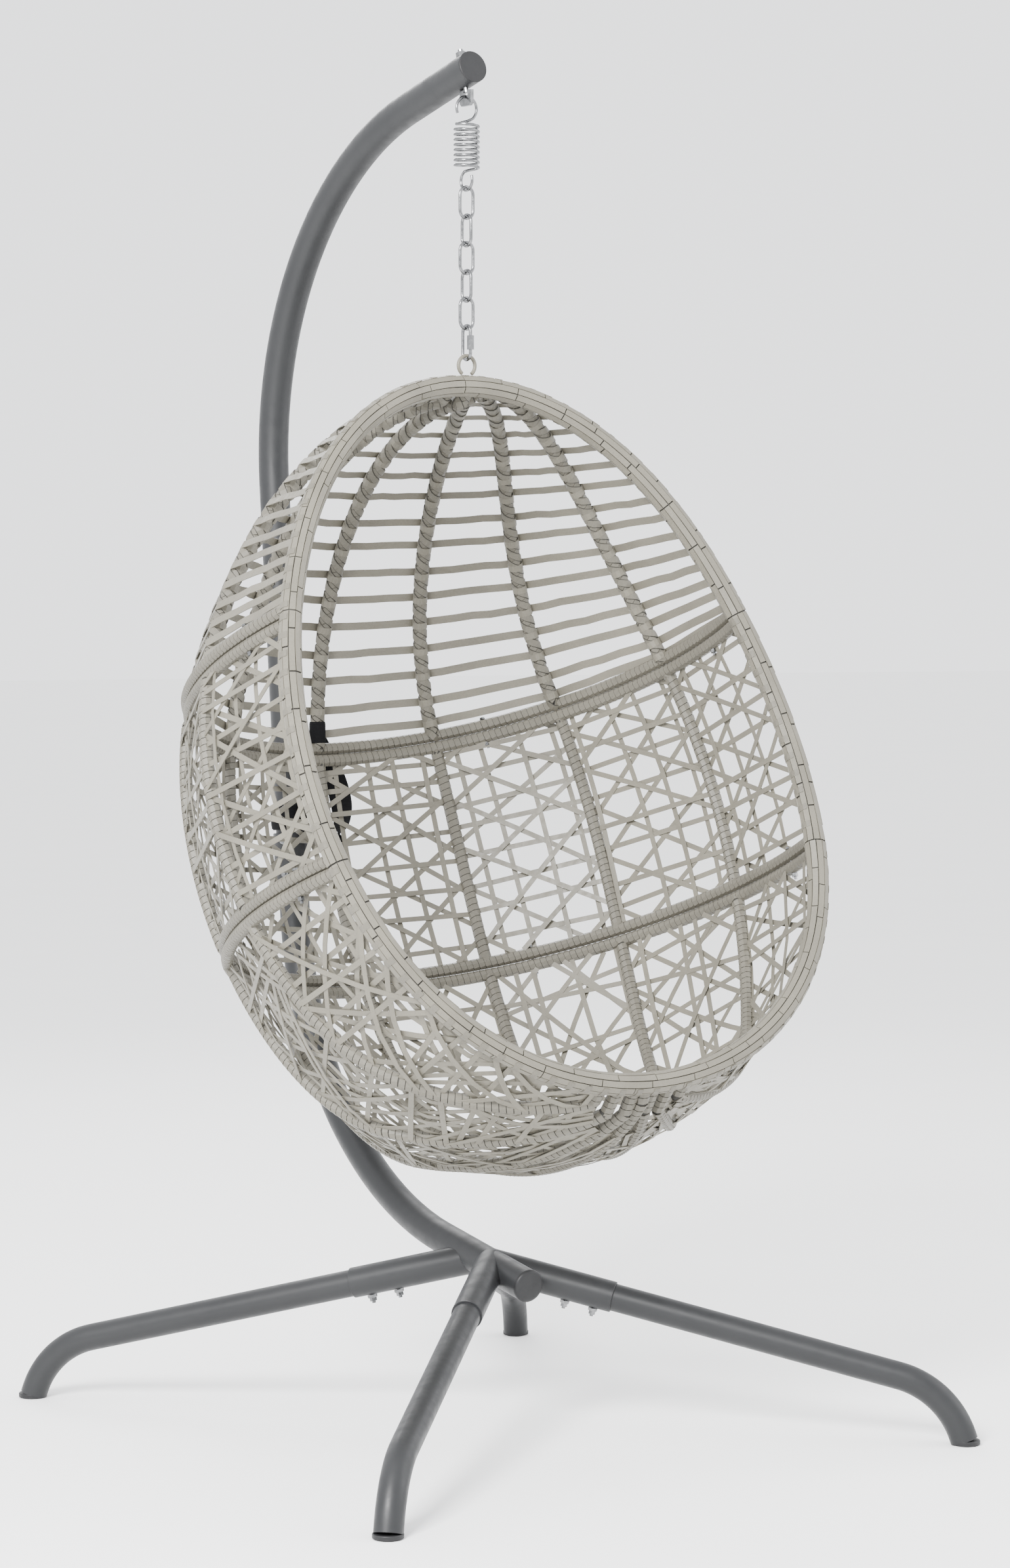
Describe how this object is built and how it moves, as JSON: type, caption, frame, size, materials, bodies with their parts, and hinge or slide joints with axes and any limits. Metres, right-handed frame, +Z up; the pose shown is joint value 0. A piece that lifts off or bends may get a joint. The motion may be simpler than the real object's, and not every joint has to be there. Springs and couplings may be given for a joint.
{
  "type": "hanging egg chair",
  "caption": "Hanging egg chair: a woven egg-shaped basket swings from a bent tubular stand on a coil spring, short chain and quick link, with a slack webbing stay at the back.",
  "frame": {"origin": "on the ground, midway between the feet, straight below the spring's hook", "axes": "+Z up, -Y towards the open front of the basket, +X to the sitter's left"},
  "size_m": [0.9986, 1.0997, 1.9585],
  "materials": {
    "powder_coated_steel": "dark grey satin powder coat",
    "black_webbing_and_plastic": "matt black",
    "bright_zinc": "bright zinc plate",
    "grey_wicker": "matt warm grey resin wicker wound over steel rod"
  },
  "bodies": {
    "stand": {"eye_bolt": "bright_zinc", "eye_nut": "bright_zinc", "foot_cap_front_left": "black_webbing_and_plastic", "foot_cap_front_right": "black_webbing_and_plastic", "foot_cap_rear_left": "black_webbing_and_plastic", "foot_cap_rear_right": "black_webbing_and_plastic", "leg_bolt_front_left_1": "bright_zinc", "leg_bolt_front_left_2": "bright_zinc", "leg_bolt_front_right_1": "bright_zinc", "leg_bolt_front_right_2": "bright_zinc", "leg_bolt_rear_left_1": "bright_zinc", "leg_bolt_rear_left_2": "bright_zinc", "leg_bolt_rear_right_1": "bright_zinc", "leg_bolt_rear_right_2": "bright_zinc", "leg_front_left": "powder_coated_steel", "leg_front_right": "powder_coated_steel", "leg_rear_left": "powder_coated_steel", "leg_rear_right": "powder_coated_steel", "leg_socket_front_left": "powder_coated_steel", "leg_socket_front_right": "powder_coated_steel", "leg_socket_rear_left": "powder_coated_steel", "leg_socket_rear_right": "powder_coated_steel", "post_front_cap": "black_webbing_and_plastic", "post_lower": "powder_coated_steel", "post_sleeve": "powder_coated_steel", "post_top_cap": "black_webbing_and_plastic", "post_upper": "powder_coated_steel", "sleeve_bolt_lower": "bright_zinc", "sleeve_bolt_upper": "bright_zinc", "strap_post_loop": "black_webbing_and_plastic"},
    "spring": {"spring": "bright_zinc"},
    "chain_link_1": {"chain_link_1": "bright_zinc"},
    "chain_link_2": {"chain_link_2": "bright_zinc"},
    "chain_link_3": {"chain_link_3": "bright_zinc"},
    "chain_link_4": {"chain_link_4": "bright_zinc"},
    "chain_link_5": {"chain_link_5": "bright_zinc"},
    "quick_link": {"quick_link": "bright_zinc"},
    "quick_link_nut": {"quick_link_nut": "bright_zinc"},
    "basket": {"bottom_frame": "grey_wicker", "bottom_rim": "grey_wicker", "hanging_ring": "grey_wicker", "middle_frame": "grey_wicker", "middle_rim_left": "grey_wicker", "middle_rim_right": "grey_wicker", "seam_bolt_lower_1": "bright_zinc", "seam_bolt_lower_2": "bright_zinc", "seam_bolt_lower_3": "bright_zinc", "seam_bolt_lower_4": "bright_zinc", "seam_bolt_upper_1": "bright_zinc", "seam_bolt_upper_2": "bright_zinc", "seam_bolt_upper_3": "bright_zinc", "seam_bolt_upper_4": "bright_zinc", "stay_strap": "black_webbing_and_plastic", "strap_rib_loop": "black_webbing_and_plastic", "top_frame": "grey_wicker", "top_rim": "grey_wicker", "weave_bottom": "grey_wicker", "weave_middle": "grey_wicker", "weave_top": "grey_wicker"}
  },
  "joints": [
    {"name": "hook_swing", "type": "hinge", "parent": "stand", "child": "spring", "pos_m": [0, 0, 1.8899], "axis": [1, 0, 0], "range_deg": [-12, 1.5], "deforming": ["stay_strap"]},
    {"name": "spring_stretch", "type": "slide", "parent": "spring", "child": "chain_link_1", "axis": [0, 0, 1], "range_m": [-0.06, 0.01], "stiffness_N_per_m": 8700, "springref_m": 0.01132, "deforming": ["spring"]},
    {"name": "link_2_pivot", "type": "hinge", "parent": "chain_link_1", "child": "chain_link_2", "pos_m": [0, 0, 1.71845], "axis": [1, 0, 0], "range_deg": [-6, 1.5]},
    {"name": "link_3_pivot", "type": "hinge", "parent": "chain_link_2", "child": "chain_link_3", "pos_m": [0, 0, 1.67935], "axis": [0, 1, 0], "range_deg": [-5, 5]},
    {"name": "link_4_pivot", "type": "hinge", "parent": "chain_link_3", "child": "chain_link_4", "pos_m": [0, 0, 1.64025], "axis": [-1, 0, 0], "range_deg": [-1.5, 6]},
    {"name": "link_5_pivot", "type": "hinge", "parent": "chain_link_4", "child": "chain_link_5", "pos_m": [0, 0, 1.60115], "axis": [0, -1, 0], "range_deg": [-5, 5]},
    {"name": "quick_link_pivot", "type": "hinge", "parent": "chain_link_5", "child": "quick_link", "pos_m": [0, 0, 1.56205], "axis": [-1, 0, 0], "range_deg": [-1.5, 5]},
    {"name": "quick_link_nut_travel", "type": "slide", "parent": "quick_link", "child": "quick_link_nut", "axis": [0, 0, 1], "range_m": [0, 0.005]},
    {"name": "basket_turn", "type": "hinge", "parent": "quick_link", "child": "basket", "pos_m": [0, 0, 1.5187], "axis": [0, 0, 1], "range_deg": [-20, 20]}
  ]
}
